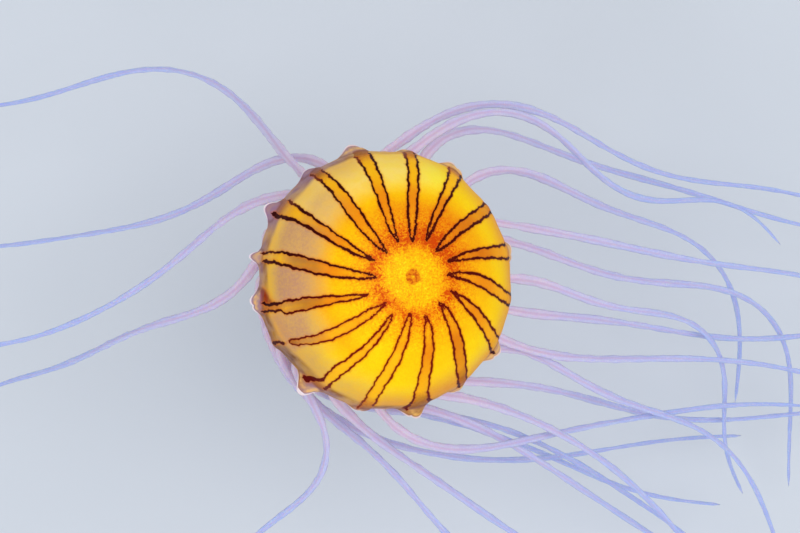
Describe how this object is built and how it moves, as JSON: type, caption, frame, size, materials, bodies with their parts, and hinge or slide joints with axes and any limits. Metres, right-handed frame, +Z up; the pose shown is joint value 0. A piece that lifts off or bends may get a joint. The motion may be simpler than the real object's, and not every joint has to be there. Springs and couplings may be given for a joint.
{
  "type": "sea nettle jellyfish model on a display stand",
  "caption": "Life-size still model of a swimming sea nettle: striped domed bell, lobed margin, ruffled oral arms and long trailing tentacles, held by a rod on a round base.",
  "frame": {"origin": "centre of the underside of the stand's round base, on the surface it stands on", "axes": "+Z up along the stand's rod; +X the way the bell leans and most tentacles stream; +Y completes the right hand"},
  "size_m": [0.705, 0.4134, 0.3752],
  "materials": {
    "bell_jelly": "wet, slightly translucent golden jelly with maroon-edged ribbons, glossy",
    "mouth_tissue": "soft translucent orange-brown tissue, glossy",
    "arm_tissue": "thin frilled pinkish-cream tissue, glossy",
    "tentacle_tissue": "pinkish-lavender strands, paler and bluer towards the tips, glossy",
    "base_enamel": "plain satin light grey enamel on steel",
    "rod_steel": "plain brushed stainless steel rod"
  },
  "bodies": {
    "root": {"bell": "bell_jelly", "manubrium": "mouth_tissue", "oral_arm_1_upper": "arm_tissue", "oral_arm_1_lower": "arm_tissue", "oral_arm_2_upper": "arm_tissue", "oral_arm_2_lower": "arm_tissue", "oral_arm_3_upper": "arm_tissue", "oral_arm_3_lower": "arm_tissue", "oral_arm_4_upper": "arm_tissue", "oral_arm_4_lower": "arm_tissue", "tentacle_01_inner": "tentacle_tissue", "tentacle_01_outer": "tentacle_tissue", "tentacle_02_inner": "tentacle_tissue", "tentacle_02_outer": "tentacle_tissue", "tentacle_03_inner": "tentacle_tissue", "tentacle_03_outer": "tentacle_tissue", "tentacle_04_inner": "tentacle_tissue", "tentacle_04_outer": "tentacle_tissue", "tentacle_05_inner": "tentacle_tissue", "tentacle_05_outer": "tentacle_tissue", "tentacle_06_inner": "tentacle_tissue", "tentacle_06_outer": "tentacle_tissue", "tentacle_07_inner": "tentacle_tissue", "tentacle_07_outer": "tentacle_tissue", "tentacle_08_inner": "tentacle_tissue", "tentacle_08_outer": "tentacle_tissue", "tentacle_09_inner": "tentacle_tissue", "tentacle_09_outer": "tentacle_tissue", "tentacle_10_inner": "tentacle_tissue", "tentacle_10_outer": "tentacle_tissue", "tentacle_11_inner": "tentacle_tissue", "tentacle_11_outer": "tentacle_tissue", "tentacle_12_inner": "tentacle_tissue", "tentacle_12_outer": "tentacle_tissue", "tentacle_13_inner": "tentacle_tissue", "tentacle_13_outer": "tentacle_tissue", "tentacle_14_inner": "tentacle_tissue", "tentacle_14_outer": "tentacle_tissue", "tentacle_15_inner": "tentacle_tissue", "tentacle_15_outer": "tentacle_tissue", "tentacle_16_inner": "tentacle_tissue", "tentacle_16_outer": "tentacle_tissue", "tentacle_17_inner": "tentacle_tissue", "tentacle_17_outer": "tentacle_tissue", "tentacle_18_inner": "tentacle_tissue", "tentacle_18_outer": "tentacle_tissue", "tentacle_19_inner": "tentacle_tissue", "tentacle_19_outer": "tentacle_tissue", "tentacle_20_inner": "tentacle_tissue", "tentacle_20_outer": "tentacle_tissue", "tentacle_21_inner": "tentacle_tissue", "tentacle_21_outer": "tentacle_tissue", "tentacle_22_inner": "tentacle_tissue", "tentacle_22_outer": "tentacle_tissue", "tentacle_23_inner": "tentacle_tissue", "tentacle_23_outer": "tentacle_tissue", "tentacle_24_inner": "tentacle_tissue", "tentacle_24_outer": "tentacle_tissue", "stand_base": "base_enamel", "stand_rod": "rod_steel"}
  },
  "joints": []
}
